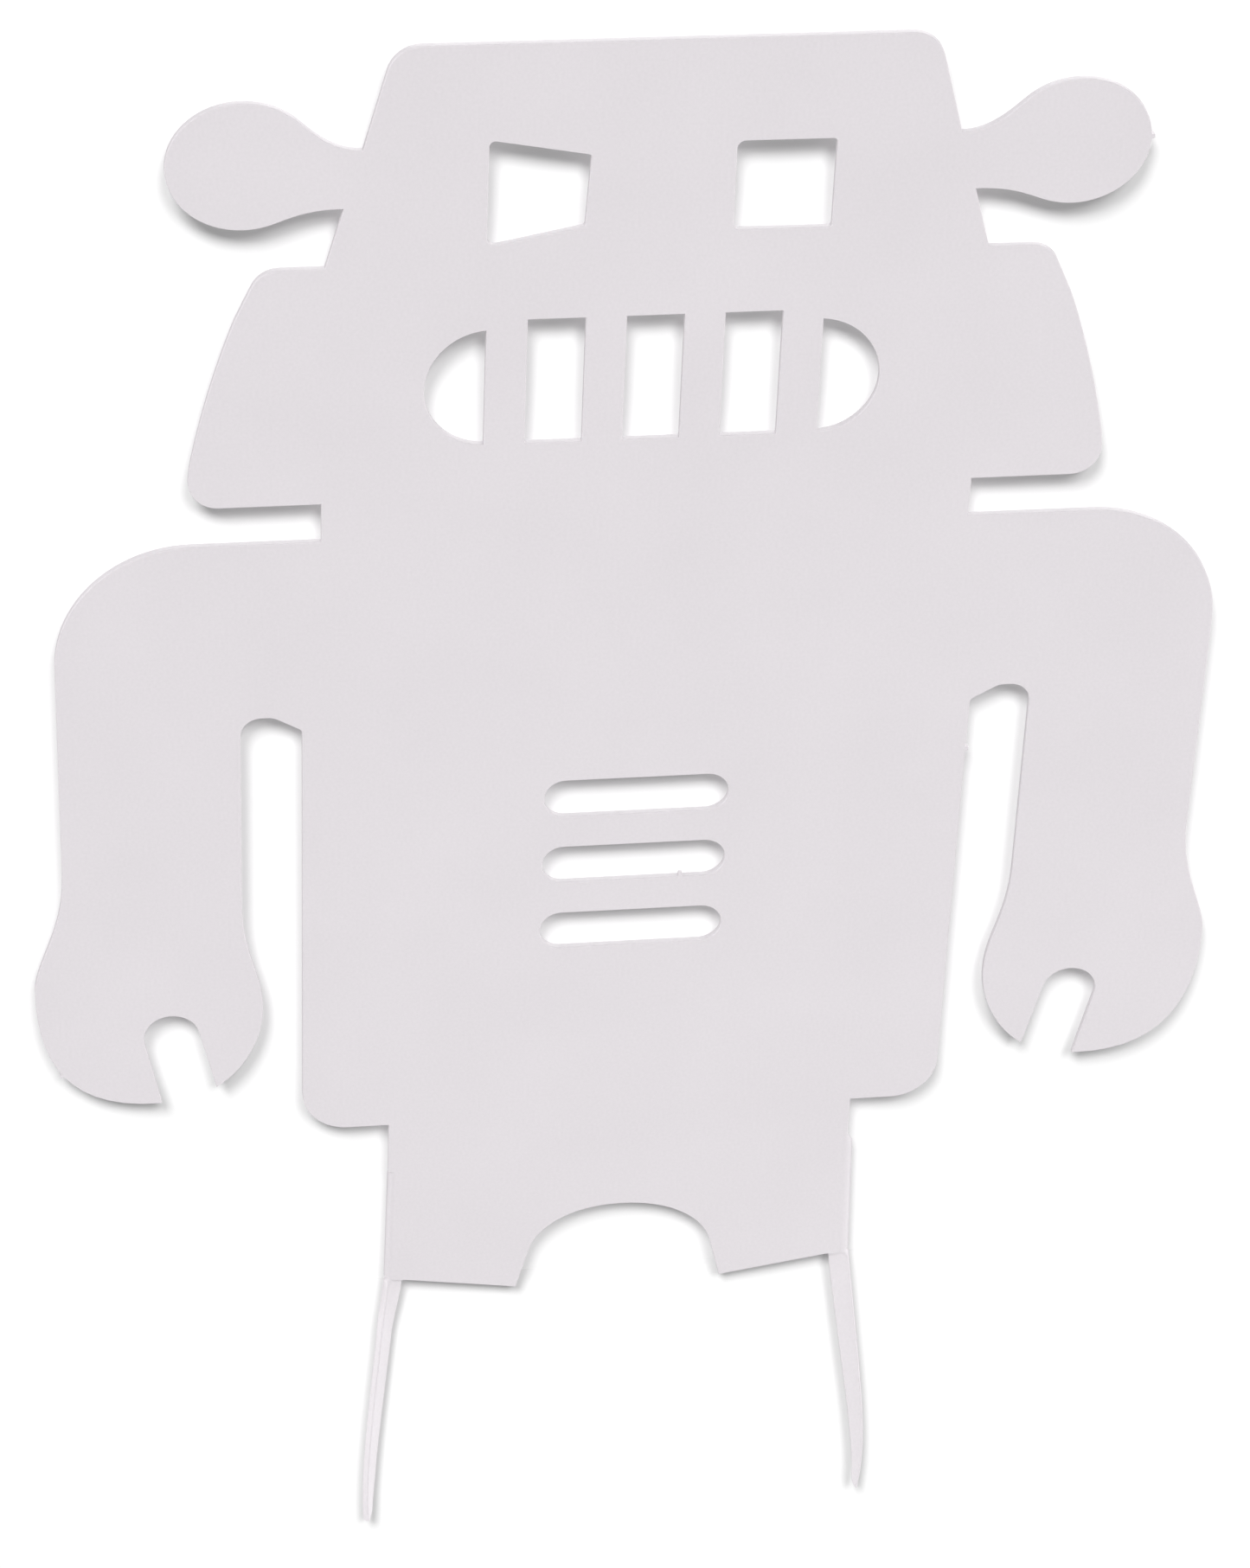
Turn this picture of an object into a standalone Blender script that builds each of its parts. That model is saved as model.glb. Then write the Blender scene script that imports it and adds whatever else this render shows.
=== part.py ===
"""Robot silhouette cut from one thin sheet and folded, on two stakes.

The figure stands upright with its front facing -Y and +X to its right as the
front is looked at. The origin is midway between the stakes, on the front face,
at the height of the lowest points of the feet, which is where soil would be.
Sizes are in millimetres and are turned into metres when a mesh is made. The
outline is drawn for its right half, and the left half mirrors it.
"""
import math
from collections import namedtuple

import bmesh
import bpy
from mathutils import Matrix, Vector

METRES_PER_MM = 0.001

# The sheet, and how finely its round stretches are cut
SHEET = 0.6             # thickness of the metal
GAP = 0.25              # clearance between two facets that meet at a fold
COAT = 0.12             # how far the coating stands proud of the sheet's cut edges
ARC_ERROR = 0.006       # most that a chord of an arc may miss it by
ARC_STEP = 12.0         # and the most degrees between two of its points
CURVE_STEPS = 14        # segments in each free curve
SHARP_ANGLE = 30.0      # degrees at which two faces meet in a hard edge

# Head
HEAD_TOP = 123.27
HEAD_HALF_TOP = 20.8
HEAD_CORNER_R = 2.6
EAR_ROOT_HIGH = (23.15, 114.6)
EAR_ROOT_LOW = (24.55, 109.85)
EAR_CENTRE = (32.45, 113.6)
EAR_RADII = (5.8, 5.3)
EAR_ANGLES = (135, -109)
EAR_UPPER_PULLS = ((2.4, 0.0), (-1.4, -1.3))
EAR_LOWER_PULLS = ((-1.3, 0.4), (3.2, 0.1))

# Cheeks: the wide lower half of the head
CHEEK_TOP = 104.45
CHEEK_BOTTOM = 83.32
CHEEK_ROOT = 26.05
CHEEK_UPPER_CORNER = (31.1, CHEEK_TOP)
CHEEK_SIDE = ((32.65, 101.2), (34.5, 96.6), (36.1, 90.8), (36.92, 85.9))
CHEEK_LOWER_CORNER = (37.1, CHEEK_BOTTOM)
CHEEK_CORNER_R = 2.3
NECK_HALF = 26.27

# Arms
SHOULDER_TOP = 79.54
SHOULDER_R = 11.0
ARM_OUTER = 47.83
ARM_INNER = 33.13
ARMPIT = 62.93
ARMPIT_CORNERS = ((ARM_INNER, ARMPIT, 1.85), (30.3, ARMPIT, 1.6), (27.82, 61.5, 0.6))

# Hands, shaped like an open spanner
WRIST_OUTER = (ARM_OUTER, 47.5)
WRIST_INNER = (ARM_INNER, 44.0)
HAND_WIDEST = (50.43, 35.8)
HAND_NARROWEST = (31.43, 33.0)
HEEL = (40.2, 23.27)
THUMB = (35.28, 24.78)
JAW_CENTRE = (39.12, 30.15)
JAW_R = 2.5
JAW_ANGLES = (-12, 168)
WRIST_OUTER_PULLS = ((ARM_OUTER, 42.0), (HAND_WIDEST[0], 38.6))
HEEL_PULLS = ((50.5, 28.6), (48.2, 23.0))
THUMB_PULLS = ((33.2, 26.2), (31.35, 29.6))
WRIST_INNER_PULLS = ((HAND_NARROWEST[0], 36.5), (ARM_INNER, 38.5))

# Torso, feet and the arch between them
TORSO_HALF = 27.82
TORSO_BOTTOM = 19.42
TORSO_CORNER_R = 3.8
LEG_HALF = 20.3
TOE = 9.3
FOOT_SLOPE = 0.15       # rise of a foot's lower edge for each millimetre outward
ARCH_SHIFT = 0.38       # the arch is cut a little off centre
ARCH_SIDE = (8.31, 4.0)
ARCH_TOP = 9.0
ARCH_PULLS = ((7.85, 6.2), (5.2, ARCH_TOP))

# Each leg: the margin folded back along its side, and the stake below its foot.
# The two sides were folded by hand and differ.
#   fold_top      height at which the folded margin starts
#   outer         distance of the margin's outer face from the middle, top and foot
#   stake_inner   distance of the stake's inner edge from the middle, at the foot
#   ridge         the same for the stake's ridge
#   ridge_slope   outward run of the ridge for each millimetre down
#   ridge_bow     how far the ridge has curved back inward at the tip
#   turn          degrees that the blade is turned to face inward
#   rib, rib_end  depth of the rib at the foot, and where along the stake it ends
Leg = namedtuple("Leg", "fold_top outer stake_inner ridge ridge_slope ridge_bow turn"
                 " rib rib_end")
LEGS = {
    "left": Leg(13.6, (20.4, 20.65), 19.15, 20.33, 0.118, 0.67, 45.0, 0.95, 20.0),
    "right": Leg(14.3, (21.05, 21.45), 19.5, 21.31, 0.105, 1.33, 12.0, 0.8, 18.5),
}
FLANGE_DEPTH_TOP = 1.2
FLANGE_DEPTH_FOOT = 1.3

# Stakes
STAKE_LENGTH = 24.0
STAKE_LEAN = 15.0       # degrees that a stake is bent forward out of the plane
STAKE_TURN_FOOT = 8.0   # turn of the blade where it leaves the foot
STAKE_TURN_LENGTH = 3.0
STAKE_FLAT_WIDTH = 2.25  # blade and rib together, before they were folded
STAKE_TAPER = (0.74, 1.75)
STAKE_ROUND_TIP = 1.3
STAKE_TIP_WIDTH = 0.12
RIDGE_BOW_POWER = 6
STAKE_SECTIONS = 30

# Holes
SLOT_SHIFT = 0.1
SLOT_HALF = 7.93
SLOT_R = 1.95
SLOT_HEIGHTS = (53.28, 46.47, 39.57)
MOUTH_SHIFT = -0.08     # the mouth is cut a little off centre
MOUTH_LOW = 88.04
MOUTH_HIGH = 99.55
TOOTH_GAP_HALF = 2.42
TOOTH_GAP_CENTRES = (-7.84, 0.0, 7.84)
TOOTH_GAP_CORNER_R = 0.15
MOUTH_END_LOWER = ((13.3, 93.2), (5.04, 5.12), (-90, 0))
MOUTH_END_UPPER = ((13.0, 93.2), (5.34, 5.5), (0, 87))
LEFT_EYE = ((-13.72, 105.8, 0.8), (-5.85, 107.44, 0.35), (-5.5, 113.85, 0.4),
            (-13.68, 115.39, 0.6))
RIGHT_EYE = ((5.57, 106.72, 0.55), (13.58, 106.66, 0.35), (13.6, 114.65, 0.45),
             (5.55, 114.68, 0.8))

# Stubs left where the figure was broken out of its blank: places on the outer
# edge, and one on the lower side of the middle slot
TAB_WIDTH = 0.42
TAB_PROUD = 0.26
TAB_TIP_START = 0.7     # of half a stub's width
TAB_TIP_END = 0.6
EDGE_TABS = ((38.25, 113.8), (TORSO_HALF, 56.4), (-48.6, 26.6))
SLOT_TAB = (4.2, SLOT_HEIGHTS[1] - SLOT_R)

WHITE = (0.80, 0.78, 0.79, 1.0)
COATING_ROUGHNESS = 0.42
WELD = 1e-4             # points closer than this are one point


# ---------------------------------------------------------------- 2D outlines

def arc(centre, radii, start, end):
    """Points along an ellipse from one angle to another, in degrees."""
    exact = 2 * math.degrees(math.acos(1 - min(1.0, ARC_ERROR / max(radii))))
    steps = max(2, math.ceil(abs(end - start) / min(ARC_STEP, exact)))
    points = []
    for i in range(steps + 1):
        angle = math.radians(start + (end - start) * i / steps)
        points.append((centre[0] + radii[0] * math.cos(angle),
                       centre[1] + radii[1] * math.sin(angle)))
    return points


def curve(start, pulls, end):
    """Points along a cubic curve, both ends included."""
    points = []
    for i in range(CURVE_STEPS + 1):
        t = i / CURVE_STEPS
        weights = ((1 - t) ** 3, 3 * t * (1 - t) ** 2, 3 * t * t * (1 - t), t ** 3)
        controls = (start, pulls[0], pulls[1], end)
        points.append(tuple(sum(w * p[k] for w, p in zip(weights, controls))
                            for k in (0, 1)))
    return points


def fillet(before, corner, after, radius):
    """Points of the arc that rounds a corner between two straight runs."""
    b, c, a = Vector(before), Vector(corner), Vector(after)
    to_b = (b - c).normalized()
    to_a = (a - c).normalized()
    half = to_b.angle(to_a) / 2
    cut = radius / math.tan(half)
    centre = c + (to_b + to_a).normalized() * (radius / math.sin(half))
    first = c + to_b * cut - centre
    last = c + to_a * cut - centre
    start = math.degrees(math.atan2(first.y, first.x))
    turn = math.degrees(math.atan2(last.y, last.x)) - start
    turn = (turn + 180) % 360 - 180
    return arc(centre, (radius, radius), start, start + turn)


def rounded_polygon(corners):
    """A closed outline from (x, z, radius) corners."""
    points = []
    for i, (x, z, radius) in enumerate(corners):
        before = corners[i - 1][:2]
        after = corners[(i + 1) % len(corners)][:2]
        points += fillet(before, (x, z), after, radius)
    return points


def foot_edge(x):
    """Height of a foot's lower edge at a distance from the middle."""
    return (x - TOE) * FOOT_SLOPE


def flange_outer(leg, z):
    """Distance of the folded margin's outer face from the middle, at a height."""
    top, foot = leg.outer
    t = (leg.fold_top - z) / (leg.fold_top - foot_edge(foot))
    return top + (foot - top) * t


def shifted(point, pull):
    """A point moved by a pull."""
    return (point[0] + pull[0], point[1] + pull[1])


def ear():
    """The ball on its short neck, from the upper root round to the lower one."""
    ball = arc(EAR_CENTRE, EAR_RADII, *EAR_ANGLES)
    leave, arrive = EAR_UPPER_PULLS
    upper = curve(EAR_ROOT_HIGH, (shifted(EAR_ROOT_HIGH, leave), shifted(ball[0], arrive)),
                  ball[0])
    leave, arrive = EAR_LOWER_PULLS
    lower = curve(ball[-1], (shifted(ball[-1], leave), shifted(EAR_ROOT_LOW, arrive)),
                  EAR_ROOT_LOW)
    return upper + ball[1:-1] + lower


def cheek():
    """The wide lower half of the head, from its upper root to its lower one."""
    side = curve(CHEEK_SIDE[0], CHEEK_SIDE[1:3], CHEEK_SIDE[3])
    upper = fillet((CHEEK_ROOT, CHEEK_TOP), CHEEK_UPPER_CORNER, side[1], CHEEK_CORNER_R)
    lower = fillet(side[-2], CHEEK_LOWER_CORNER, (NECK_HALF, CHEEK_BOTTOM), CHEEK_CORNER_R)
    return [(CHEEK_ROOT, CHEEK_TOP)] + upper + side[1:-1] + lower


def hand():
    """The hand from the outer wrist, round the jaw, to the inner wrist."""
    outer = curve(WRIST_OUTER, WRIST_OUTER_PULLS, HAND_WIDEST)
    heel = curve(HAND_WIDEST, HEEL_PULLS, HEEL)
    jaw = arc(JAW_CENTRE, (JAW_R, JAW_R), *JAW_ANGLES)
    thumb = curve(THUMB, THUMB_PULLS, HAND_NARROWEST)
    inner = curve(HAND_NARROWEST, WRIST_INNER_PULLS, WRIST_INNER)
    return outer + heel[1:] + jaw + thumb + inner[1:]


def armpit():
    """The top of the gap between arm and torso, from the arm to the torso."""
    path = ((WRIST_INNER[0], WRIST_INNER[1], 0),) + ARMPIT_CORNERS
    path += ((TORSO_HALF, TORSO_BOTTOM, 0),)
    points = []
    for before, corner, after in zip(path, path[1:], path[2:]):
        points += fillet(before[:2], corner[:2], after[:2], corner[2])
    return points


def half_outline(leg):
    """The right half of the edge, from the top of the head to the foot."""
    points = fillet((0, HEAD_TOP), (HEAD_HALF_TOP, HEAD_TOP), EAR_ROOT_HIGH, HEAD_CORNER_R)
    points += ear()
    points += cheek()
    points += [(NECK_HALF, CHEEK_BOTTOM), (NECK_HALF, SHOULDER_TOP)]
    points += fillet((NECK_HALF, SHOULDER_TOP), (ARM_OUTER, SHOULDER_TOP), WRIST_OUTER,
                     SHOULDER_R)
    points += hand()
    points += armpit()
    points += fillet((TORSO_HALF, ARMPIT), (TORSO_HALF, TORSO_BOTTOM),
                     (LEG_HALF, TORSO_BOTTOM), TORSO_CORNER_R)
    points.append((LEG_HALF, TORSO_BOTTOM))
    fold_top = leg.fold_top + GAP
    foot = leg.outer[1] - SHEET
    points += [(LEG_HALF, fold_top), (flange_outer(leg, fold_top) - SHEET, fold_top),
               (foot, foot_edge(foot))]
    return points


def arch():
    """The round cut between the feet, from the right foot to the left one."""
    right = [(TOE, 0)] + curve(ARCH_SIDE, ARCH_PULLS, (0, ARCH_TOP))
    left = [(-x, z) for x, z in reversed(right[:-1])]
    return [(x + ARCH_SHIFT, z) for x, z in right + left]


def distinct(points):
    """A closed loop without points that repeat the one before."""
    return [p for i, p in enumerate(points) if (Vector(p) - Vector(points[i - 1])).length > WELD]


def coated(points, bare=()):
    """A closed loop moved away from the metal by the coating, apart from bare points."""
    moved = []
    for i, point in enumerate(points):
        here = Vector(point)
        before = (here - Vector(points[i - 1])).normalized()
        after = (Vector(points[(i + 1) % len(points)]) - here).normalized()
        normal = Vector((-before.y - after.y, before.x + after.x))
        if point in bare or normal.length < WELD:
            moved.append(point)
            continue
        normal.normalize()
        share = max(0.5, normal.dot(Vector((-after.y, after.x))))
        moved.append(tuple(here + normal * COAT / share))
    return moved


def with_tab(points, at):
    """The closed outline with a small stub added on its edge nearest a place."""
    at = Vector(at)
    best = None
    for i, start in enumerate(points):
        a = Vector(start)
        along = Vector(points[(i + 1) % len(points)]) - a
        if along.length < WELD:
            continue
        t = min(1.0, max(0.0, (at - a).dot(along) / along.length_squared))
        distance = (a + along * t - at).length
        if best is None or distance < best[0]:
            best = (distance, i, a + along * t, along.normalized())
    _, index, foot, direction = best
    # The metal is on the right of the clockwise edge and of the anticlockwise holes
    outward = Vector((-direction.y, direction.x)) * TAB_PROUD
    side = direction * TAB_WIDTH / 2
    stub = [foot - side, foot - side * TAB_TIP_START + outward,
            foot + side * TAB_TIP_END + outward, foot + side]
    before = [p for p in points[:index + 1] if (Vector(p) - foot).length > side.length]
    after = [p for p in points[index + 1:] if (Vector(p) - foot).length > side.length]
    return before + [tuple(p) for p in stub] + after


def body_outline():
    """The whole outer edge, clockwise from the top of the head."""
    right = half_outline(LEGS["right"])
    left = [(-x, z) for x, z in reversed(half_outline(LEGS["left"]))]
    # The feet carry on into the stakes at their outer corners, which stay bare
    points = coated(distinct(right + arch() + left), bare=(right[-1], left[0]))
    for at in EDGE_TABS:
        points = with_tab(points, at)
    return points


def slot(height):
    """A belly slot with round ends."""
    straight = SLOT_HALF - SLOT_R
    right = arc((SLOT_SHIFT + straight, height), (SLOT_R, SLOT_R), -90, 90)
    left = arc((SLOT_SHIFT - straight, height), (SLOT_R, SLOT_R), 90, 270)
    return right + left


def tooth_gap(centre):
    """A square-cornered hole between two teeth."""
    left = MOUTH_SHIFT + centre - TOOTH_GAP_HALF
    right = MOUTH_SHIFT + centre + TOOTH_GAP_HALF
    corners = ((left, MOUTH_LOW), (right, MOUTH_LOW), (right, MOUTH_HIGH), (left, MOUTH_HIGH))
    return rounded_polygon([(x, z, TOOTH_GAP_CORNER_R) for x, z in corners])


def mouth_end(side):
    """The D-shaped hole at one end of the mouth, right for +1 and left for -1."""
    centre, radii, angles = MOUTH_END_LOWER
    points = arc(centre, radii, *angles)
    centre, radii, angles = MOUTH_END_UPPER
    points += arc(centre, radii, *angles)[1:]
    if side < 0:
        points.reverse()
    return [(side * x + MOUTH_SHIFT, z) for x, z in points]


def holes():
    """The edges of every hole, each anticlockwise."""
    loops = [rounded_polygon(LEFT_EYE), rounded_polygon(RIGHT_EYE)]
    loops += [tooth_gap(centre) for centre in TOOTH_GAP_CENTRES]
    loops += [mouth_end(1), mouth_end(-1)]
    slots = [slot(height) for height in SLOT_HEIGHTS]
    loops = [coated(distinct(loop)) for loop in loops + slots]
    loops[-2] = with_tab(loops[-2], SLOT_TAB)
    return loops


# --------------------------------------------------------------------- solids

def coated_metal(name):
    """A satin white coating for one piece."""
    material = bpy.data.materials.new(name)
    material.use_nodes = True
    shader = material.node_tree.nodes["Principled BSDF"]
    shader.inputs["Base Color"].default_value = WHITE
    shader.inputs["Roughness"].default_value = COATING_ROUGHNESS
    shader.inputs["Metallic"].default_value = 0.0
    return material


def add_object(name, bm):
    """An object from a mesh in millimetres, with faces out and sharp folds."""
    bmesh.ops.remove_doubles(bm, verts=bm.verts[:], dist=WELD)
    bmesh.ops.recalc_face_normals(bm, faces=bm.faces[:])
    bm.transform(Matrix.Scale(METRES_PER_MM, 4))
    mesh = bpy.data.meshes.new(name)
    bm.to_mesh(mesh)
    bm.free()
    mesh.materials.append(coated_metal(name))
    obj = bpy.data.objects.new(name, mesh)
    bpy.context.scene.collection.objects.link(obj)
    mesh.shade_smooth()
    mesh.set_sharp_from_angle(angle=math.radians(SHARP_ANGLE))
    return obj


def set_origin(obj, pivot):
    """Put an object's origin on its fold line without moving its shape."""
    offset = Vector(pivot) * METRES_PER_MM
    obj.data.transform(Matrix.Translation(-offset))
    obj.location = offset


def plate(name, loops):
    """The flat sheet with its holes, front face at Y 0."""
    bm = bmesh.new()
    for loop in loops:
        corners = [bm.verts.new((x, 0, z)) for x, z in loop]
        for i, vert in enumerate(corners):
            bm.edges.new((vert, corners[(i + 1) % len(corners)]))
    bmesh.ops.remove_doubles(bm, verts=bm.verts[:], dist=WELD)
    bmesh.ops.triangle_fill(bm, use_beauty=True, use_dissolve=False,
                            edges=bm.edges[:], normal=(0, -1, 0))
    extruded = bmesh.ops.extrude_face_region(bm, geom=bm.faces[:])
    moved = [g for g in extruded["geom"] if isinstance(g, bmesh.types.BMVert)]
    bmesh.ops.translate(bm, verts=moved, vec=(0, SHEET, 0))
    return add_object(name, bm)


def loft(name, sections):
    """A closed solid through a list of sections with the same number of points."""
    bm = bmesh.new()
    rings = [[bm.verts.new(point) for point in section] for section in sections]
    for ring, following in zip(rings, rings[1:]):
        for i, vert in enumerate(ring):
            j = (i + 1) % len(ring)
            bm.faces.new((vert, ring[j], following[j], following[i]))
    for end in (rings[0], rings[-1]):
        face = bm.faces.new(end)
        bmesh.ops.triangulate(bm, faces=[face])
    return add_object(name, bm)


def leg_flange(name, side, leg):
    """The margin of a leg, folded straight back behind it."""
    sections = []
    foot = foot_edge(leg.outer[1]) + GAP
    for z, depth in ((leg.fold_top, FLANGE_DEPTH_TOP), (foot, FLANGE_DEPTH_FOOT)):
        outer = side * flange_outer(leg, z)
        inner = side * (flange_outer(leg, z) - SHEET)
        front = SHEET + GAP
        sections.append(((outer, front, z), (outer, depth, z),
                         (inner, depth, z), (inner, front, z)))
    flange = loft(name, sections)
    pivot = leg.outer[1] - SHEET
    set_origin(flange, (side * pivot, SHEET, foot_edge(pivot)))


def smooth_step(t):
    """0 to 1 as t goes from 0 to 1, level at both ends."""
    t = min(1.0, max(0.0, t))
    return t * t * (3 - 2 * t)


def stake_profile(leg, along):
    """Ridge offset, blade width, rib depth and turn at a distance down the stake."""
    t = along / STAKE_LENGTH
    drop, power = STAKE_TAPER
    flat = STAKE_FLAT_WIDTH * (1 - drop * t ** power)
    from_round = max(0.0, along - STAKE_LENGTH + STAKE_ROUND_TIP) / STAKE_ROUND_TIP
    flat *= math.sqrt(max(0.0, 1 - from_round ** 2))
    rib = leg.rib * max(0.0, 1 - (along / leg.rib_end) ** 1.5)
    blade = max(STAKE_TIP_WIDTH, flat - rib / 2)
    ridge = leg.ridge + leg.ridge_slope * along - leg.ridge_bow * t ** RIDGE_BOW_POWER
    turned = smooth_step(along / STAKE_TURN_LENGTH)
    turn = STAKE_TURN_FOOT + (leg.turn - STAKE_TURN_FOOT) * turned
    return ridge, blade, max(rib, SHEET + 0.02), math.radians(turn)


def stake(name, side, leg):
    """A pointed angle section that hangs from the foot's outer corner."""
    lean = math.radians(STAKE_LEAN)
    down = Vector((0, -math.sin(lean), -math.cos(lean)))
    back = Vector((0, math.cos(lean), -math.sin(lean)))
    inward = Vector((-1, 0, 0))
    sections = []
    for i in range(STAKE_SECTIONS):
        along = STAKE_LENGTH * i / (STAKE_SECTIONS - 1)
        ridge_x, blade, rib, turn = stake_profile(leg, along)
        ridge = Vector((ridge_x, 0, foot_edge(leg.ridge) - GAP)) + down * along
        across = inward * math.cos(turn) + back * math.sin(turn)
        behind = back * math.cos(turn) - inward * math.sin(turn)
        points = [ridge, ridge + across * blade,
                  ridge + across * blade + behind * SHEET,
                  ridge + across * SHEET + behind * SHEET,
                  ridge + across * SHEET + behind * rib, ridge + behind * rib]
        if blade < SHEET + WELD:
            points[3] = points[2] + behind * WELD
            points[4] = points[2] + behind * (rib - SHEET)
        if i == 0:
            # The top is cut to run beside the foot's sloping lower edge
            points = [p + down * (ridge.x - p.x) * FOOT_SLOPE for p in points]
        sections.append([(side * p.x, p.y, p.z) for p in points])
    blade_piece = loft(name, sections)
    pivot = leg.stake_inner
    set_origin(blade_piece, (side * pivot, SHEET / 2, foot_edge(pivot)))


def build():
    for obj in list(bpy.data.objects):
        bpy.data.objects.remove(obj, do_unlink=True)
    plate("body_panel", [body_outline()] + holes())
    for label, side in (("left", -1), ("right", 1)):
        leg_flange(label + "_leg_flange", side, LEGS[label])
        stake(label + "_stake", side, LEGS[label])


build()
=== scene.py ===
"""Looks of the robot silhouette: coated sheet metal in front of a white backdrop.

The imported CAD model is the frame. Its flat sheet is made again with rounded,
coated edges, each leg's margin with the round bend that joins it to the sheet,
and each stake with the bend at its foot and the crease along its ridge.
Lengths in this file are in millimetres until a mesh is made.
"""
import math
from collections import namedtuple

import bmesh
import bpy
from mathutils import Matrix, Vector


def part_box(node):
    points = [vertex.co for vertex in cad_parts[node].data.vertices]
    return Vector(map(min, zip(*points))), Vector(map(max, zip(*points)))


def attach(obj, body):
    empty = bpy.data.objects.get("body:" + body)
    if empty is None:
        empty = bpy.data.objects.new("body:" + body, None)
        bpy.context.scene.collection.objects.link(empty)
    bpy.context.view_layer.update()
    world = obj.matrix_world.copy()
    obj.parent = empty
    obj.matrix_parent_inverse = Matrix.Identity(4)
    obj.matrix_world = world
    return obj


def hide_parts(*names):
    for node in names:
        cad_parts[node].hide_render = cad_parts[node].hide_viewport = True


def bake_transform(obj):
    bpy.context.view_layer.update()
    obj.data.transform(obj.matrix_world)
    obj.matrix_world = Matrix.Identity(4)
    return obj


MM = 0.001
NO_LENGTH = 1e-6

# The coated sheet
EDGE_R = 0.08           # rounding of the cut edges under the coating
EDGE_STEPS = 4          # segments in that rounding
EDGE_SUPPORT = 0.03     # flat strip beside the rounding that keeps the face flat
STUB_MITER = 1.5        # most that a sharp corner may be inset, in roundings
WELD = 0.0002
SHARP_ANGLE = 40.0      # degrees above which an edge is shaded as sharp
FACING_FRONT = -0.9     # a face whose normal's y is below this is the front

# Each leg, which was folded by hand, so that the two sides differ.
#   bend_r        radius of the bend between the sheet and the folded margin
#   shoulder      heights between which the margin narrows to nothing at its top
#   ridge         distance of the stake's ridge from the middle, at the foot
#   ridge_slope   outward run of the ridge for each millimetre down
#   ridge_bow     how far the ridge has curved back inward at the tip
#   turn          degrees that the blade faces inward, at the foot and below
#   rib, rib_end  depth of the rib at the foot, and where along the stake it ends
Leg = namedtuple("Leg", "bend_r shoulder ridge ridge_slope ridge_bow turn"
                 " rib rib_end")
LEGS = {
    "left": Leg(0.64, (13.17, 14.06), 20.33, 0.118, 0.67, (25.0, 45.0), 0.78, 20.0),
    "right": Leg(0.85, (13.46, 15.54), 21.31, 0.105, 1.33, (12.0, 12.0), 0.45, 18.5),
}
SIDES = {"left": -1, "right": 1}
FOLD_GAP = 0.25         # gap that the CAD model keeps at a fold
LEG_HALF = 20.42
TOE = 9.3
FOOT_SLOPE = 0.15
# How far the corner that is built again reaches past the toe, the notch and the leg
CORNER_REACH = (1.0, 0.5, 2.0)
SEAM_FADE = 0.35        # length over which the edge rounding starts beside a bend
MARGIN_DEPTHS = (1.2, 0.85)     # at its foot it's the second, and at its top the first
UNCURL_SHARE = 0.1      # last share of the narrowing, where the margin flattens
LEAST_CURL = 0.001
MARGIN_RINGS = 34
MARGIN_ACROSS = 20

STAKE_LENGTH = 24.2
STAKE_LEAN = 15.0
STAKE_BEND_LENGTH = 0.4
STAKE_TURN_LENGTH = 6.0
RIB_FOOT_LENGTH = 1.2   # over which the margin narrows to the rib below the foot
STAKE_FLAT_WIDTH = 2.25
STAKE_TAPER = (0.74, 1.75)
STAKE_ROUND_TIP = 1.2
STAKE_TIP_WIDTH = 0.12
RIB_POWER = 1.5
LEAST_STEP = 0.02       # smallest step between two faces of the section
RIDGE_BOW_POWER = 6
RIDGE_R = 0.16          # rounding of the crease, once clear of the foot
RIDGE_R_LENGTH = 1.0
ROUNDING_SHARES = (0.9, 0.45)   # of a side that the ridge's and other roundings may take
STAKE_RINGS = 70
RING_CROWDING = 0.9     # how much closer the rings lie at the two ends

# Camera: where it stands, what it looks at, its roll and its lens
CAMERA_PLACE = (-55.4, -338.0, 294.4)
CAMERA_TARGET = (-0.92, 0.0, 54.52)
CAMERA_ROLL = 2.52
CAMERA_LENS = 114.77
CAMERA_SENSOR = 36.0
CAMERA_CLIP = (0.01, 10.0)      # metres

# Powder coat: its colour and the noises in it. The noises' scales are per metre, and
# each noise's values from low to high give dark to light.
COAT_COLOUR = (0.585, 0.557, 0.579)
Noise = namedtuple("Noise", "scale detail low high dark light")
CLOUDING = Noise(85.0, 2.0, 0.3, 0.7, 0.985, 1.01)      # some 12 mm across
GRAIN = Noise(3800.0, 2.0, 0.25, 0.75, 0.97, 1.02)      # the powder's fine mottle
ROUGHNESS = Noise(900.0, 3.0, 0.2, 0.8, 0.36, 0.48)
PEEL_SCALE = 2600.0     # a third of a millimetre or so from crest to crest
PEEL_DETAIL = 2.5
PEEL_STRENGTH = 0.22
PEEL_HEIGHT = 0.00004
SPECK_CELLS = 95.0      # per metre
SPECK_EDGE = (0.010, 0.020)     # of a cell, from the speck's full shade to none
SPECK_CHOICE = (0.80, 0.81)     # one cell in five has a speck
SPECK_SHADE = 0.72

# Backdrop and light
BACKDROP_GAP = 2.2      # from the front face of the sheet
BACKDROP_HALF = 1500.0  # half its width, and its height above the feet
BACKDROP_DROP = 300.0   # how far it reaches below the feet
# Below the feet, where more light falls on it, and above
BACKDROP_ALBEDOS = {"low": 0.76, "high": 0.92}
SKY_STRENGTH = 0.32

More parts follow.
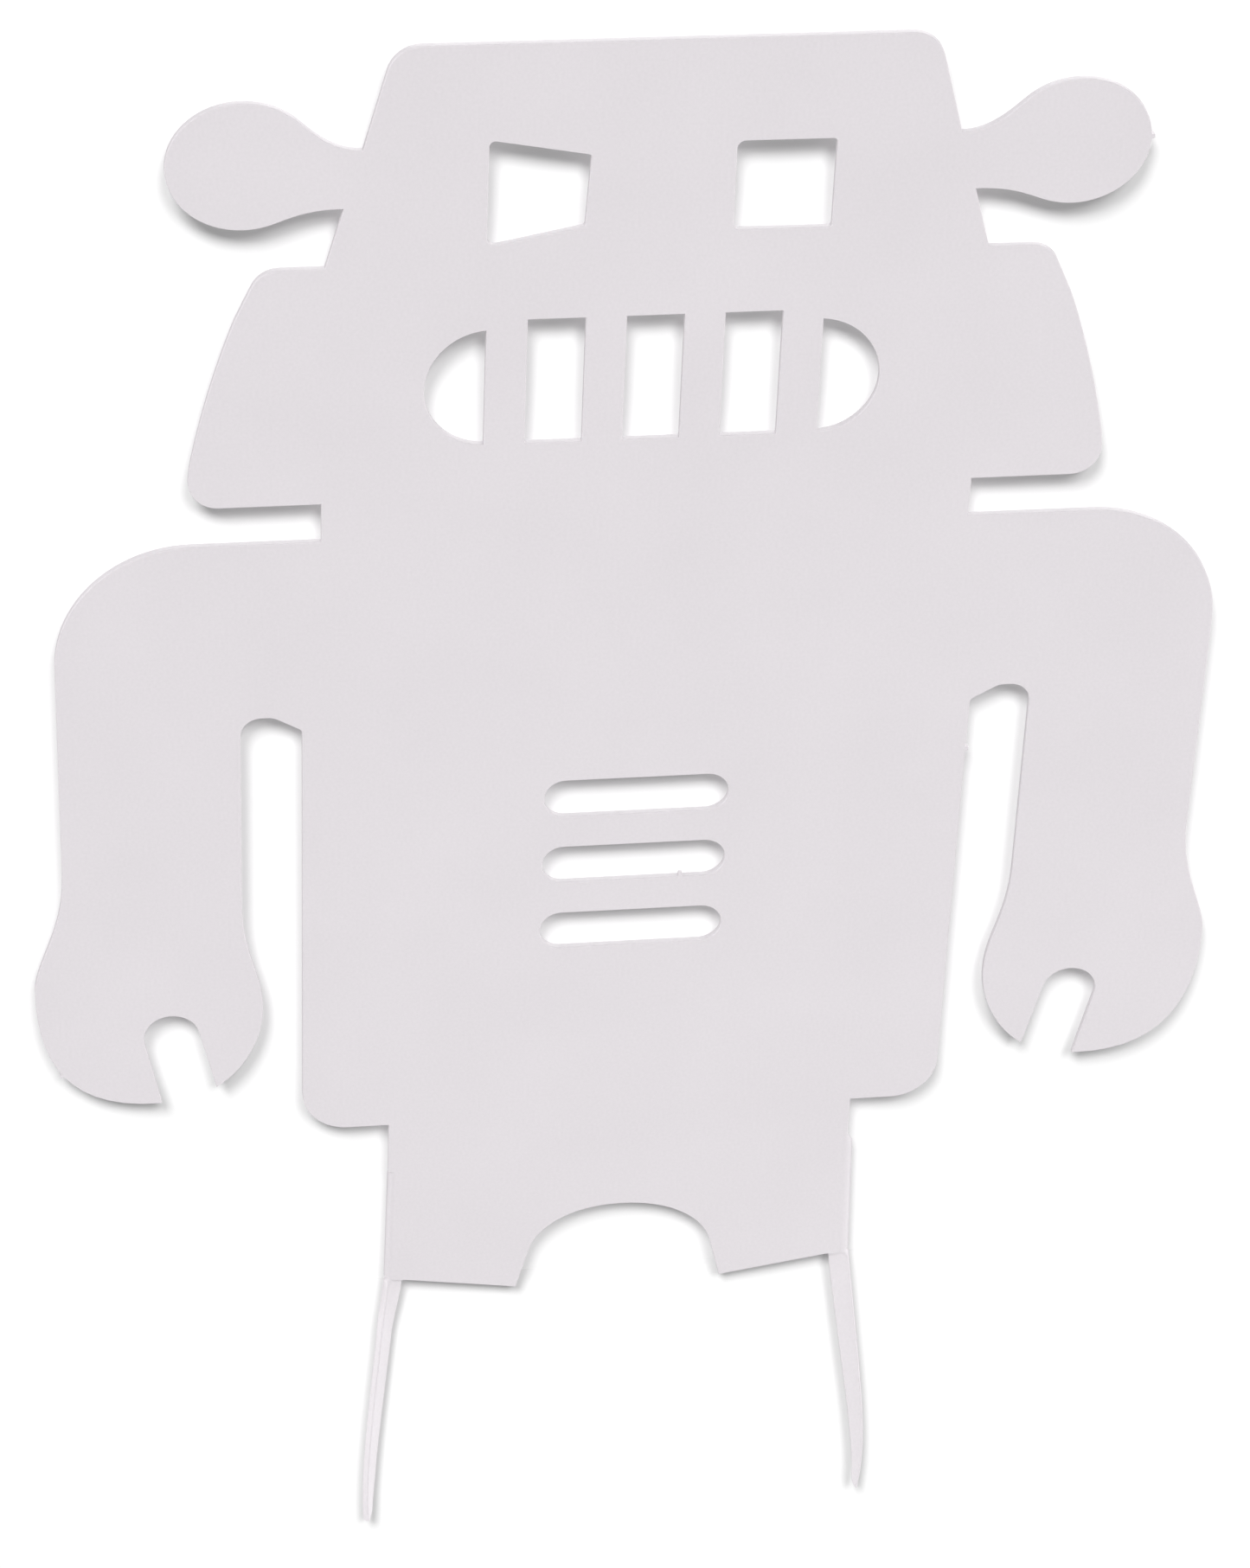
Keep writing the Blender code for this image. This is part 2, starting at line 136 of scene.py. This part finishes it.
# Suns as (name, azimuth and elevation that it comes from, irradiance, angle, lights
# the backdrop). The keys light only the backdrop and give the soft shadow there,
# and the others are the wide soft boxes round the figure. Azimuth 0 is in front
# of it and 90 to its right, and all angles are in degrees.
SUNS = (
    ("shadow_key_left", -24, 50, 2.55, 18, True),
    ("shadow_key_right", 10, 45, 1.55, 18, True),
    ("front_glow", 25, -50, 0.80, 50, False),
    ("low_front", -14, -5, 0.80, 30, False),
    ("right_box", 78, -5, 2.50, 60, False),
    ("left_box", -78, 11, 2.45, 60, False),
    ("top_box", 0, 65, 1.40, 60, False),
    ("back_box", 160, 30, 1.90, 60, False),
)

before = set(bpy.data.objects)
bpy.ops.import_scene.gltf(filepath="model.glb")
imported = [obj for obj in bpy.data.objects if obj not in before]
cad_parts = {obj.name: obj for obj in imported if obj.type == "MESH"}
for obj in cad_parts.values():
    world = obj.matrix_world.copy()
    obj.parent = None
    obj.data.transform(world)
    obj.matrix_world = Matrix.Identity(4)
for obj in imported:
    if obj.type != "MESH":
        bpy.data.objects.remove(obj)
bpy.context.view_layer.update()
SHEET = (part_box("body_panel")[1].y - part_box("body_panel")[0].y) / MM


# -------------------------------------------------------------------- helpers

def smooth_step(t):
    """0 to 1 as t goes from 0 to 1, level at both ends."""
    t = min(1.0, max(0.0, t))
    return t * t * (3 - 2 * t)


def foot_edge(x):
    """Height of a foot's lower edge at a distance from the middle."""
    return (x - TOE) * FOOT_SLOPE


def add_piece(name, bm, material):
    """A shown piece from a mesh in millimetres."""
    bmesh.ops.remove_doubles(bm, verts=bm.verts[:], dist=WELD)
    bmesh.ops.recalc_face_normals(bm, faces=bm.faces[:])
    bm.transform(Matrix.Scale(MM, 4))
    mesh = bpy.data.meshes.new(name)
    bm.to_mesh(mesh)
    bm.free()
    mesh.materials.append(material)
    mesh.shade_smooth()
    mesh.set_sharp_from_angle(angle=math.radians(SHARP_ANGLE))
    obj = bpy.data.objects.new(name, mesh)
    bpy.context.scene.collection.objects.link(obj)
    return obj


def bridge(bm, rings):
    """Faces between closed rings that have the same number of vertices."""
    for ring, following in zip(rings, rings[1:]):
        for i in range(len(ring)):
            j = (i + 1) % len(ring)
            bm.faces.new((ring[i], ring[j], following[j], following[i]))


# ------------------------------------------------------------------ materials

def powder_coat(name, tint):
    """Satin white powder coat: orange peel, faint clouding and a few dust specks."""
    material = bpy.data.materials.new(name)
    material.use_nodes = True
    nodes = material.node_tree.nodes
    links = material.node_tree.links
    shader = nodes["Principled BSDF"]
    place = nodes.new("ShaderNodeTexCoord").outputs["Object"]

    def noise(scale, detail):
        node = nodes.new("ShaderNodeTexNoise")
        node.inputs["Scale"].default_value = scale
        node.inputs["Detail"].default_value = detail
        links.new(place, node.inputs["Vector"])
        return node.outputs["Fac"]

    def ramp(source, low, high, dark, light):
        node = nodes.new("ShaderNodeMapRange")
        node.inputs["From Min"].default_value = low
        node.inputs["From Max"].default_value = high
        node.inputs["To Min"].default_value = dark
        node.inputs["To Max"].default_value = light
        links.new(source, node.inputs["Value"])
        return node.outputs["Result"]

    def multiply(a, b):
        node = nodes.new("ShaderNodeMath")
        node.operation = "MULTIPLY"
        links.new(a, node.inputs[0])
        links.new(b, node.inputs[1])
        return node.outputs["Value"]

    def mottle(kind):
        return ramp(noise(kind.scale, kind.detail), *kind[2:])

    cloud = mottle(CLOUDING)
    grain = mottle(GRAIN)

    # Dust specks: small dark dots where the sheet passes a chosen cell's middle
    cells = nodes.new("ShaderNodeTexVoronoi")
    cells.inputs["Scale"].default_value = SPECK_CELLS
    links.new(place, cells.inputs["Vector"])
    near = ramp(cells.outputs["Distance"], *SPECK_EDGE, 1.0, 0.0)
    pick = nodes.new("ShaderNodeSeparateColor")
    links.new(cells.outputs["Color"], pick.inputs["Color"])
    chosen = ramp(pick.outputs["Red"], *SPECK_CHOICE, 0.0, 1.0)
    speck = ramp(multiply(near, chosen), 0.0, 1.0, 1.0, SPECK_SHADE)

    shade = multiply(multiply(cloud, grain), speck)
    colour = nodes.new("ShaderNodeMix")
    colour.data_type = "RGBA"
    colour.blend_type = "MULTIPLY"
    colour.inputs["Factor"].default_value = 1.0
    colour.inputs["A"].default_value = (*tint, 1.0)
    links.new(shade, colour.inputs["B"])
    links.new(colour.outputs["Result"], shader.inputs["Base Color"])

    links.new(mottle(ROUGHNESS), shader.inputs["Roughness"])

    peel = nodes.new("ShaderNodeBump")
    peel.inputs["Strength"].default_value = PEEL_STRENGTH
    peel.inputs["Distance"].default_value = PEEL_HEIGHT
    links.new(noise(PEEL_SCALE, PEEL_DETAIL), peel.inputs["Height"])
    links.new(peel.outputs["Normal"], shader.inputs["Normal"])
    return material


def backdrop_white(name, albedo):
    """Matt white seen from its front only, so that it never hides the back."""
    material = bpy.data.materials.new(name)
    material.use_nodes = True
    nodes = material.node_tree.nodes
    links = material.node_tree.links
    nodes.remove(nodes["Principled BSDF"])
    matt = nodes.new("ShaderNodeBsdfDiffuse")
    matt.inputs["Color"].default_value = (albedo,) * 3 + (1.0,)
    clear = nodes.new("ShaderNodeBsdfTransparent")
    mix = nodes.new("ShaderNodeMixShader")
    geometry = nodes.new("ShaderNodeNewGeometry")
    links.new(geometry.outputs["Backfacing"], mix.inputs["Fac"])
    links.new(matt.outputs["BSDF"], mix.inputs[1])
    links.new(clear.outputs["BSDF"], mix.inputs[2])
    links.new(mix.outputs["Shader"], nodes["Material Output"].inputs["Surface"])
    return material


# -------------------------------------------------------------- stake measures

def rib_depth(label, along):
    """How far the stake's edge is folded back, which dies away down the stake."""
    leg = LEGS[label]
    return leg.rib * max(0.0, 1 - (along / leg.rib_end) ** RIB_POWER)


def blade_turn(label, along):
    """Angle at which the blade faces inward, below the crease at the foot."""
    at_foot, below = LEGS[label].turn
    turn = at_foot + (below - at_foot) * smooth_step(along / STAKE_TURN_LENGTH)
    return math.radians(turn)


def blade_reach(label, along):
    """How far inward from the ridge the blade reaches."""
    drop, power = STAKE_TAPER
    flat = STAKE_FLAT_WIDTH * (1 - drop * (along / STAKE_LENGTH) ** power)
    from_round = max(0.0, along - STAKE_LENGTH + STAKE_ROUND_TIP) / STAKE_ROUND_TIP
    flat *= math.sqrt(max(0.0, 1 - from_round ** 2))
    width = max(STAKE_TIP_WIDTH, flat - rib_depth(label, along))
    return width * math.cos(blade_turn(label, along))


# ------------------------------------------------------------------ leg lines

def leg_line(label):
    """The margin's outer face as the CAD has it: (x, z) at its top and its foot."""
    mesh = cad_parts[label + "_leg_flange"].data
    points = [(abs(v.co.x) / MM, v.co.z / MM) for v in mesh.vertices]
    high = max(z for _, z in points)
    low = min(z for _, z in points)
    middle = (high + low) / 2
    top = max(p for p in points if p[1] > middle)
    foot = max(p for p in points if p[1] < middle)
    return top, foot


def outer_at(label, z):
    """Distance of the margin's outer face from the middle, at a height."""
    top, foot = leg_line(label)
    return top[0] + (foot[0] - top[0]) * (top[1] - z) / (top[1] - foot[1])


def bend_start(label, z):
    """Distance from the middle at which the sheet starts to bend back."""
    return outer_at(label, z) - LEGS[label].bend_r


# --------------------------------------------------------------- figure sheet

def front_loops(node):
    """Edges of the sheet's front face as closed (x, z) loops, metal on the left."""
    bm = bmesh.new()
    bm.from_mesh(node.data)
    bmesh.ops.remove_doubles(bm, verts=bm.verts[:], dist=WELD * MM)
    front = set(f for f in bm.faces if f.normal.y < FACING_FRONT)
    following = {}
    for face in front:
        for corner in face.loops:
            if corner.link_loop_radial_next.face not in front:
                following[corner.vert] = corner.link_loop_next.vert
    loops = []
    while following:
        start = next(iter(following))
        loop = []
        vert = start
        while vert in following:
            loop.append(Vector((vert.co.x / MM, vert.co.z / MM)))
            vert = following.pop(vert)
        loops.append(loop)
    bm.free()
    return loops


def leg_corner(label):
    """The sheet's corner at a leg with its bend taken off, from the foot up.

    Each point is (x, z, rounded): the sheet's edge isn't rounded where the bend
    and the stake carry on from it."""
    leg = LEGS[label]
    top = leg.shoulder[1]
    foot = bend_start(label, foot_edge(LEG_HALF))
    inner = leg.ridge - blade_reach(label, 0)
    return [(inner - SEAM_FADE, foot_edge(inner - SEAM_FADE), 1),
            (inner, foot_edge(inner), 0),
            (foot, foot_edge(foot), 0),
            (bend_start(label, top), top, 0),
            (LEG_HALF, top, 0),
            (LEG_HALF, top + SEAM_FADE, 1)]


def sheet_outline(loop):
    """The outer loop with the corners at its two legs replaced."""
    highest = max(range(len(loop)), key=lambda i: loop[i].y)
    points = [(p, 1) for p in loop[highest:] + loop[:highest]]
    past_toe, past_notch, past_leg = CORNER_REACH
    for label, side in SIDES.items():
        top, _ = leg_line(label)
        notch = top[1] + FOLD_GAP
        corner = [i for i, (p, _) in enumerate(points)
                  if TOE + past_toe < side * p.x < LEG_HALF + past_leg
                  and p.y < notch + past_notch]
        new = [(Vector((side * x, z)), rounded) for x, z, rounded in leg_corner(label)]
        if side < 0:
            new.reverse()
        first = corner[0]
        kept = [p for i, p in enumerate(points) if i not in corner]
        points = kept[:first] + new + kept[first:]
    return points


def inset_points(points, distance):
    """A closed loop moved into the metal by a distance."""
    moved = []
    for i, (point, rounded) in enumerate(points):
        before = (point - points[i - 1][0]).normalized()
        after = (points[(i + 1) % len(points)][0] - point).normalized()
        inward = Vector((-before.y - after.y, before.x + after.x))
        square = Vector((-after.y, after.x))
        if inward.length < NO_LENGTH:
            inward = square.copy()
        inward.normalize()
        share = max(1 / STUB_MITER, inward.dot(square))
        moved.append(point + inward * (distance * rounded / share))
    return moved


def sheet_profile():
    """(inset, depth) pairs from the front face, round the edge, to the back."""
    front = [(EDGE_R + EDGE_SUPPORT, 0.0)]
    for i in range(EDGE_STEPS + 1):
        angle = math.pi / 2 * i / EDGE_STEPS
        front.append((EDGE_R * (1 - math.sin(angle)), EDGE_R * (1 - math.cos(angle))))
    back = [(inset, SHEET - depth) for inset, depth in reversed(front)]
    return front + back


def figure_sheet(material):
    """The whole flat sheet with rounded edges round its outline and its holes."""
    loops = front_loops(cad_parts["body_panel"])
    loops.sort(key=lambda loop: -max(p.y for p in loop))
    outlines = [sheet_outline(loops[0])]
    outlines += [[(p, 1) for p in loop] for loop in loops[1:]]
    bm = bmesh.new()
    caps = ([], [])
    for outline in outlines:
        rings = []
        for inset, depth in sheet_profile():
            rings.append([bm.verts.new((p.x, depth, p.y))
                          for p in inset_points(outline, inset)])
        bridge(bm, rings)
        for cap, ring in zip(caps, (rings[0], rings[-1])):
            cap += [bm.edges.get((ring[i - 1], ring[i])) for i in range(len(ring))]
    for edges, facing in zip(caps, (-1, 1)):
        bmesh.ops.triangle_fill(bm, use_beauty=True, use_dissolve=False,
                                edges=edges, normal=(0, facing, 0))
    sheet = add_piece("robot_sheet", bm, material)
    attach(sheet, "figure")
    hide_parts("body_panel")


# ---------------------------------------------------------------- leg margins

def margin_section(label, t):
    """Closed section of a margin, t 0 at the foot and 1 at the top of its shoulder."""
    leg = LEGS[label]
    low, high = leg.shoulder
    z = foot_edge(LEG_HALF) + (high - foot_edge(LEG_HALF)) * t
    start = bend_start(label, z)
    narrowing = smooth_step((z - low) / (high - low))
    depth = MARGIN_DEPTHS[0] + (MARGIN_DEPTHS[1] - MARGIN_DEPTHS[0]) * (1 - t)
    full = leg.bend_r * math.pi / 2 + depth - leg.bend_r
    length = full + (LEG_HALF - start - full) * narrowing
    curl = max(LEAST_CURL,
               1 - smooth_step((narrowing - (1 - UNCURL_SHARE)) / UNCURL_SHARE))

    def surface(s, into):
        """A point s along the outer surface and a distance into the metal."""
        bent = min(s, leg.bend_r * math.pi / 2)
        angle = curl * bent / leg.bend_r
        radius = leg.bend_r / curl
        x = start + radius * math.sin(angle) + (s - bent) * math.cos(angle)
        y = radius * (1 - math.cos(angle)) + (s - bent) * math.sin(angle)
        x -= into * math.sin(angle)
        y += into * math.cos(angle)
        return x, y, foot_edge(x) * (1 - t) + high * t

    points = [surface((length - EDGE_R) * i / MARGIN_ACROSS, 0)
              for i in range(MARGIN_ACROSS)]
    for centre, first in ((EDGE_R, 0), (SHEET - EDGE_R, 90)):
        for i in range(EDGE_STEPS + 1):
            angle = math.radians(first + 90 * i / EDGE_STEPS)
            points.append(surface(length - EDGE_R + EDGE_R * math.sin(angle),
                                  centre - EDGE_R * math.cos(angle)))
    points += [surface((length - EDGE_R) * i / MARGIN_ACROSS, SHEET)
               for i in reversed(range(MARGIN_ACROSS))]
    return points


def leg_margin(label, material):
    """A margin and the bend that joins it to the sheet."""
    side = SIDES[label]
    bm = bmesh.new()
    rings = []
    for i in range(MARGIN_RINGS + 1):
        share = i / MARGIN_RINGS
        section = margin_section(label, 1 - (1 - share) ** 2)
        rings.append([bm.verts.new((side * x, y, z)) for x, y, z in section])
    bridge(bm, rings)
    for ring in (rings[0], rings[-1]):
        bmesh.ops.triangulate(bm, faces=[bm.faces.new(ring)])
    margin = add_piece(label + "_margin_bend", bm, material)
    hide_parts(label + "_leg_flange")
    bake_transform(margin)


# --------------------------------------------------------------------- stakes

def rounded_section(corners, steps):
    """A polygon's points with each (x, y, radius) corner rounded, the first most."""
    first_share, other_share = ROUNDING_SHARES
    points = []
    for i, (x, y, radius) in enumerate(corners):
        corner = Vector((x, y))
        before = Vector(corners[i - 1][:2]) - corner
        after = Vector(corners[(i + 1) % len(corners)][:2]) - corner
        share = first_share if i == 0 else other_share
        radius = min(radius, share * before.length, share * after.length)
        first = corner + before.normalized() * radius
        last = corner + after.normalized() * radius
        for k in range(steps + 1):
            u = k / steps
            weight = math.sqrt(0.5) * 2 * u * (1 - u)
            total = (1 - u) ** 2 + weight + u * u
            curved = first * (1 - u) ** 2 + corner * weight + last * u * u
            points.append(curved / total)
    return points


def stake_section(label, along):
    """Ridge distance, turn and closed section of a stake, at a distance down it."""
    leg = LEGS[label]
    t = along / STAKE_LENGTH
    crease = smooth_step(along / STAKE_BEND_LENGTH)
    turn = blade_turn(label, along) * crease
    width = blade_reach(label, along) / math.cos(turn)
    behind = max(rib_depth(label, along), SHEET + LEAST_STEP)
    at_foot = 1 - smooth_step(along / RIB_FOOT_LENGTH)
    behind += (MARGIN_DEPTHS[1] - behind) * at_foot
    inner = min(SHEET, width - LEAST_STEP)
    at_bend = 1 - smooth_step(along / RIDGE_R_LENGTH)
    ridge_r = RIDGE_R + (leg.bend_r - RIDGE_R) * at_bend
    corners = [(0, 0, ridge_r), (width, 0, EDGE_R), (width, SHEET, EDGE_R),
               (inner, SHEET, EDGE_R / 2), (inner, behind, EDGE_R), (0, behind, EDGE_R)]
    ridge_x = leg.ridge + leg.ridge_slope * along
    ridge_x -= leg.ridge_bow * t ** RIDGE_BOW_POWER
    return ridge_x, turn, rounded_section(corners, EDGE_STEPS + 2)


def stake_lean(along):
    """How far the stake leans forward once its bend has run for a length."""
    return math.radians(STAKE_LEAN) * smooth_step(along / STAKE_BEND_LENGTH)


def stake(label, material):
    """A stake: its crease, its tapering blade and rib, and the bend at the foot."""
    side = SIDES[label]
    leg = LEGS[label]
    bm = bmesh.new()
    rings = []
    centre = Vector((0, 0, foot_edge(leg.ridge)))
    reached = 0.0
    for i in range(STAKE_RINGS + 1):
        share = i / STAKE_RINGS
        # Rings lie close together in the bend at the foot and at the round tip
        crowding = math.sin(2 * math.pi * share) / (2 * math.pi) * RING_CROWDING
        along = STAKE_LENGTH * (share - crowding)
        lean = stake_lean((along + reached) / 2)
        centre += Vector((0, -math.sin(lean), -math.cos(lean))) * (along - reached)
        reached = along
        lean = stake_lean(along)
        down = Vector((0, -math.sin(lean), -math.cos(lean)))
        back = Vector((0, math.cos(lean), -math.sin(lean)))
        inward = Vector((-1, 0, 0))
        ridge_x, turn, section = stake_section(label, along)
        across = inward * math.cos(turn) + back * math.sin(turn)
        behind = back * math.cos(turn) - inward * math.sin(turn)
        ring = []
        for point in section:
            place = centre + Vector((ridge_x, 0, 0))
            place += across * point.x + behind * point.y
            # The foot's lower edge slopes, and the slope dies away down the stake
            slope = FOOT_SLOPE * (1 - smooth_step(along / STAKE_TURN_LENGTH))
            place += down * (ridge_x - place.x) * slope
            ring.append(bm.verts.new((side * place.x, place.y, place.z)))
        rings.append(ring)
    bridge(bm, rings)
    for ring in (rings[0], rings[-1]):
        bmesh.ops.triangulate(bm, faces=[bm.faces.new(ring)])
    blade = add_piece(label + "_stake_blade", bm, material)
    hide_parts(label + "_stake")
    inner = leg.ridge - blade_reach(label, 0)
    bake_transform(blade)


# ---------------------------------------------------------------------- stage

def backdrop():
    """A large white board just behind the figure, which takes its soft shadow."""
    mesh = bpy.data.meshes.new("backdrop")
    # Below the feet it leans forward with the stakes
    forward = BACKDROP_GAP - BACKDROP_DROP * math.tan(math.radians(STAKE_LEAN))
    profile = ((forward, -BACKDROP_DROP), (BACKDROP_GAP, 0.0),
               (BACKDROP_GAP, BACKDROP_HALF))
    corners = [(x * MM, y * MM, z * MM) for y, z in profile
               for x in (-BACKDROP_HALF, BACKDROP_HALF)]
    mesh.from_pydata(corners, [], [(0, 1, 3, 2), (2, 3, 5, 4)])
    for part, albedo in BACKDROP_ALBEDOS.items():
        mesh.materials.append(backdrop_white("backdrop_" + part, albedo))
    mesh.polygons[1].material_index = 1
    board = bpy.data.objects.new("backdrop", mesh)
    bpy.context.scene.collection.objects.link(board)
    # It shows and takes shadows, and doesn't darken the back of the figure
    board.visible_shadow = False
    board.visible_diffuse = False
    board.visible_glossy = False
    return board


def sun(name, azimuth, elevation, strength, angle, board, on_board):
    """Even soft light from one direction, on the backdrop only or all but it."""
    light = bpy.data.lights.new(name, "SUN")
    light.energy = strength
    light.angle = math.radians(angle)
    lamp = bpy.data.objects.new(name, light)
    lamp.rotation_mode = "QUATERNION"
    around = math.radians(azimuth)
    above = math.radians(elevation)
    towards = Vector((math.sin(around) * math.cos(above),
                      -math.cos(around) * math.cos(above), math.sin(above)))
    lamp.rotation_quaternion = towards.to_track_quat("Z", "Y")
    bpy.context.scene.collection.objects.link(lamp)
    lit = bpy.data.collections.new(name + "_lights")
    lit.objects.link(board)
    if not on_board:
        lit.collection_objects[0].light_linking.link_state = "EXCLUDE"
    lamp.light_linking.receiver_collection = lit


def studio(board):
    """White surroundings and the soft lights."""
    world = bpy.data.worlds.new("studio")
    bpy.context.scene.world = world
    world.use_nodes = True
    glow = world.node_tree.nodes["Background"]
    glow.inputs["Color"].default_value = (1.0, 1.0, 1.0, 1.0)
    glow.inputs["Strength"].default_value = SKY_STRENGTH
    for name, azimuth, elevation, strength, angle, on_board in SUNS:
        sun(name, azimuth, elevation, strength, angle, board, on_board)


def camera():
    """The camera, from above and a little to the left."""
    data = bpy.data.cameras.new("camera")
    data.sensor_width = CAMERA_SENSOR
    data.lens = CAMERA_LENS
    data.clip_start, data.clip_end = CAMERA_CLIP
    obj = bpy.data.objects.new("camera", data)
    place = Vector(CAMERA_PLACE)
    looking = Vector(CAMERA_TARGET) - place
    turn = looking.to_track_quat("-Z", "Y")
    roll = Matrix.Rotation(math.radians(CAMERA_ROLL), 4, "Z")
    obj.matrix_world = Matrix.Translation(place * MM) @ turn.to_matrix().to_4x4() @ roll
    bpy.context.scene.collection.objects.link(obj)
    bpy.context.scene.camera = obj


camera()
studio(backdrop())
coat = powder_coat("powder_coat", COAT_COLOUR)
figure_sheet(coat)
for leg_label in SIDES:
    leg_margin(leg_label, coat)
    stake(leg_label, coat)

bpy.context.scene.view_settings.view_transform = "Standard"
